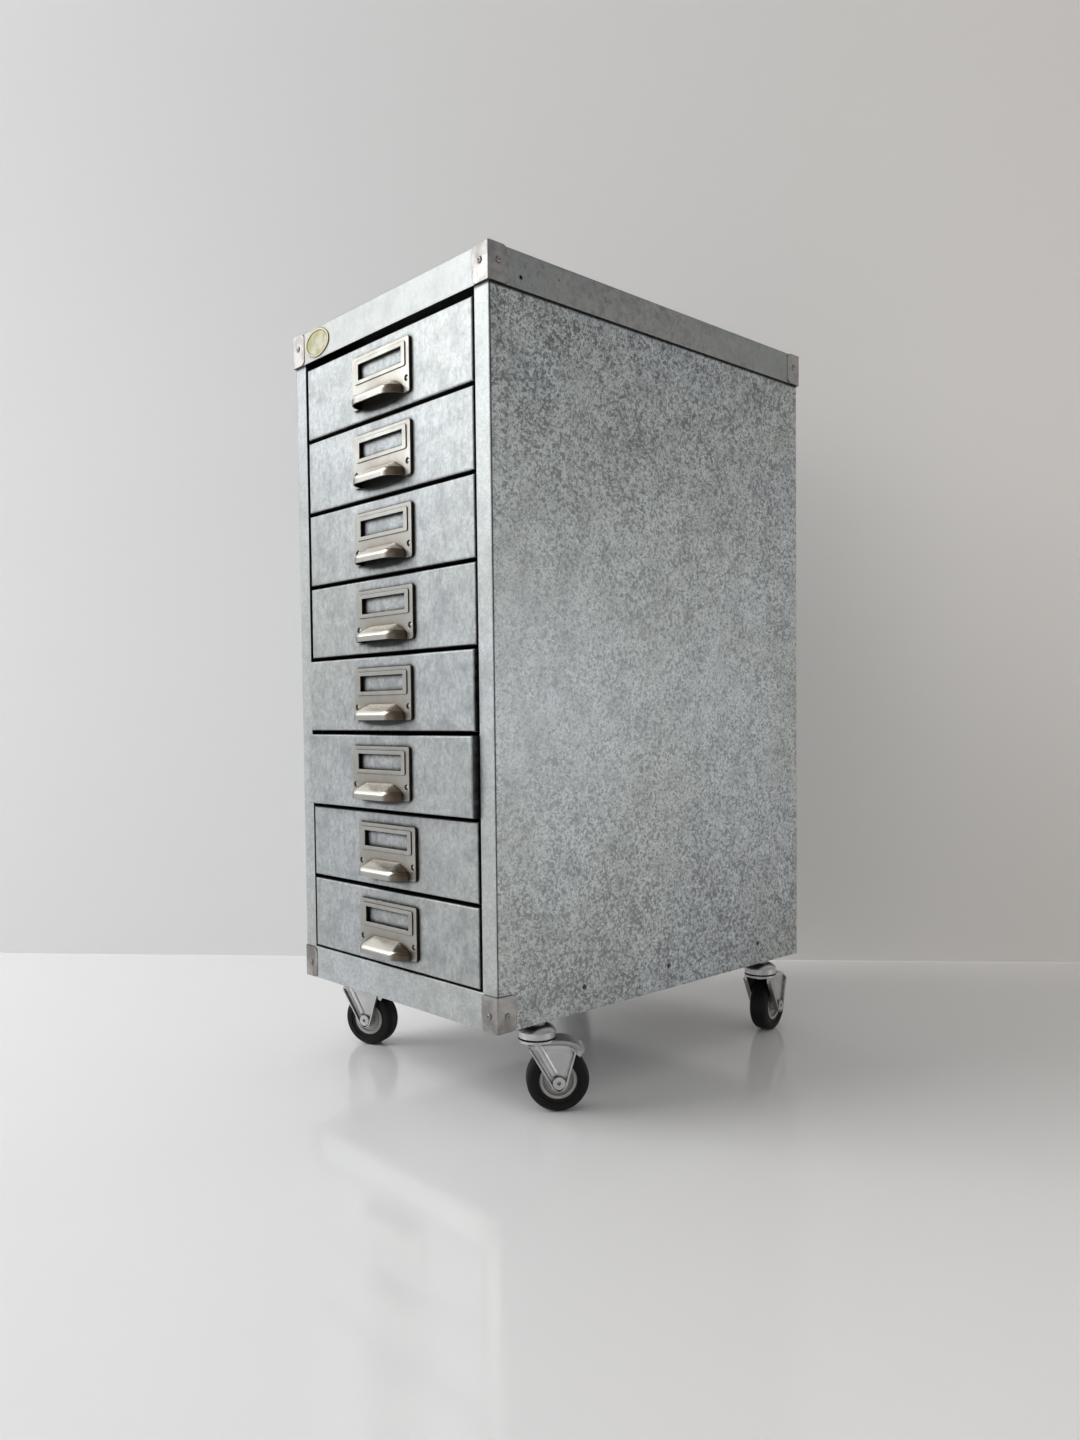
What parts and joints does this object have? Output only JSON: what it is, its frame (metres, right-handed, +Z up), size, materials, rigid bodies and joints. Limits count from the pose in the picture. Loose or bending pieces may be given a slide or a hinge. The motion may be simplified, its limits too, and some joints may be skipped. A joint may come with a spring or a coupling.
{
  "type": "metal drawer cabinet",
  "caption": "Galvanised sheet-steel drawer cabinet with sliding drawers, label-holder cup pulls, riveted corner brackets and swivel casters",
  "frame": {"origin": "on the floor, under the middle of the cabinet's body", "axes": "+Z up, -Y out of the drawer fronts, +X to the right seen from the front"},
  "size_m": [0.3259, 0.4213, 0.663],
  "materials": {
    "galvanised_lid": "spangled galvanised",
    "galvanised_panel": "spangled galvanised",
    "inner_steel": "plain galvanised",
    "bracket_steel": "worn plain steel",
    "zinc_fastener": "zinc plated",
    "badge_enamel": "enamel, bare",
    "galvanised_drawer": "spangled galvanised",
    "nickel_pull": "aged nickel",
    "zinc_fork": "zinc plated",
    "hub_grey": "moulded",
    "tyre_rubber": "satin rubber"
  },
  "bodies": {
    "cabinet": {"lid": "galvanised_lid", "left_side_panel": "galvanised_panel", "right_side_panel": "galvanised_panel", "back_panel": "galvanised_panel", "base_pan": "inner_steel", "front_rail": "galvanised_panel", "left_runners": "inner_steel", "right_runners": "inner_steel", "top_brackets": "bracket_steel", "bottom_brackets": "bracket_steel", "corner_rivets": "zinc_fastener", "side_screws": "zinc_fastener", "back_screws": "zinc_fastener", "badge": "badge_enamel", "caster_nuts": "zinc_fastener", "swivel_balls": "zinc_fastener", "caster_1_head": "zinc_fork", "caster_2_head": "zinc_fork", "caster_3_head": "zinc_fork", "caster_4_head": "zinc_fork"},
    "drawer_1": {"drawer_1_tray": "galvanised_drawer", "drawer_1_pull": "nickel_pull", "drawer_1_rivets": "nickel_pull"},
    "drawer_2": {"drawer_2_tray": "galvanised_drawer", "drawer_2_pull": "nickel_pull", "drawer_2_rivets": "nickel_pull"},
    "drawer_3": {"drawer_3_tray": "galvanised_drawer", "drawer_3_pull": "nickel_pull", "drawer_3_rivets": "nickel_pull"},
    "drawer_4": {"drawer_4_tray": "galvanised_drawer", "drawer_4_pull": "nickel_pull", "drawer_4_rivets": "nickel_pull"},
    "drawer_5": {"drawer_5_tray": "galvanised_drawer", "drawer_5_pull": "nickel_pull", "drawer_5_rivets": "nickel_pull"},
    "drawer_6": {"drawer_6_tray": "galvanised_drawer", "drawer_6_pull": "nickel_pull", "drawer_6_rivets": "nickel_pull"},
    "drawer_7": {"drawer_7_tray": "galvanised_drawer", "drawer_7_pull": "nickel_pull", "drawer_7_rivets": "nickel_pull"},
    "drawer_8": {"drawer_8_tray": "galvanised_drawer", "drawer_8_pull": "nickel_pull", "drawer_8_rivets": "nickel_pull"},
    "fork_1": {"caster_1_fork": "zinc_fork", "caster_1_axle": "zinc_fastener"},
    "wheel_1": {"caster_1_hub": "hub_grey", "caster_1_tyre": "tyre_rubber"},
    "fork_2": {"caster_2_fork": "zinc_fork", "caster_2_axle": "zinc_fastener"},
    "wheel_2": {"caster_2_hub": "hub_grey", "caster_2_tyre": "tyre_rubber"},
    "fork_3": {"caster_3_fork": "zinc_fork", "caster_3_axle": "zinc_fastener"},
    "wheel_3": {"caster_3_hub": "hub_grey", "caster_3_tyre": "tyre_rubber"},
    "fork_4": {"caster_4_fork": "zinc_fork", "caster_4_axle": "zinc_fastener"},
    "wheel_4": {"caster_4_hub": "hub_grey", "caster_4_tyre": "tyre_rubber"}
  },
  "joints": [
    {"name": "drawer_1_slide", "type": "slide", "parent": "cabinet", "child": "drawer_1", "axis": [0, -1, 0], "range_m": [0, 0.3]},
    {"name": "drawer_2_slide", "type": "slide", "parent": "cabinet", "child": "drawer_2", "axis": [0, -1, 0], "range_m": [0, 0.3]},
    {"name": "drawer_3_slide", "type": "slide", "parent": "cabinet", "child": "drawer_3", "axis": [0, -1, 0], "range_m": [0, 0.3]},
    {"name": "drawer_4_slide", "type": "slide", "parent": "cabinet", "child": "drawer_4", "axis": [0, -1, 0], "range_m": [0, 0.3]},
    {"name": "drawer_5_slide", "type": "slide", "parent": "cabinet", "child": "drawer_5", "axis": [0, -1, 0], "range_m": [-0.003, 0.297]},
    {"name": "drawer_6_slide", "type": "slide", "parent": "cabinet", "child": "drawer_6", "axis": [0, -1, 0], "range_m": [-0.006, 0.294]},
    {"name": "drawer_7_slide", "type": "slide", "parent": "cabinet", "child": "drawer_7", "axis": [0, -1, 0], "range_m": [-0.001, 0.299]},
    {"name": "drawer_8_slide", "type": "slide", "parent": "cabinet", "child": "drawer_8", "axis": [0, -1, 0], "range_m": [-0.001, 0.299]},
    {"name": "front_right_swivel", "type": "hinge", "parent": "cabinet", "child": "fork_1", "pos_m": [0.128, -0.149, 0.025], "axis": [0, 0, 1], "continuous": true},
    {"name": "front_right_wheel", "type": "hinge", "parent": "fork_1", "child": "wheel_1", "pos_m": [0.13785, -0.13639, 0.025], "axis": [-0.788, 0.6157, 0], "continuous": true},
    {"name": "front_left_swivel", "type": "hinge", "parent": "cabinet", "child": "fork_2", "pos_m": [-0.128, -0.149, 0.025], "axis": [0, 0, 1], "continuous": true},
    {"name": "front_left_wheel", "type": "hinge", "parent": "fork_2", "child": "wheel_2", "pos_m": [-0.11338, -0.14249, 0.025], "axis": [-0.4067, 0.9135, 0], "continuous": true},
    {"name": "rear_right_swivel", "type": "hinge", "parent": "cabinet", "child": "fork_3", "pos_m": [0.128, 0.149, 0.025], "axis": [0, 0, 1], "continuous": true},
    {"name": "rear_right_wheel", "type": "hinge", "parent": "fork_3", "child": "wheel_3", "pos_m": [0.12495, 0.16471, 0.025], "axis": [-0.9816, -0.1908, 0], "continuous": true},
    {"name": "rear_left_swivel", "type": "hinge", "parent": "cabinet", "child": "fork_4", "pos_m": [-0.128, 0.149, 0.025], "axis": [0, 0, 1], "continuous": true},
    {"name": "rear_left_wheel", "type": "hinge", "parent": "fork_4", "child": "wheel_4", "pos_m": [-0.14186, 0.157, 0.025], "axis": [-0.5, -0.866, 0], "continuous": true}
  ]
}
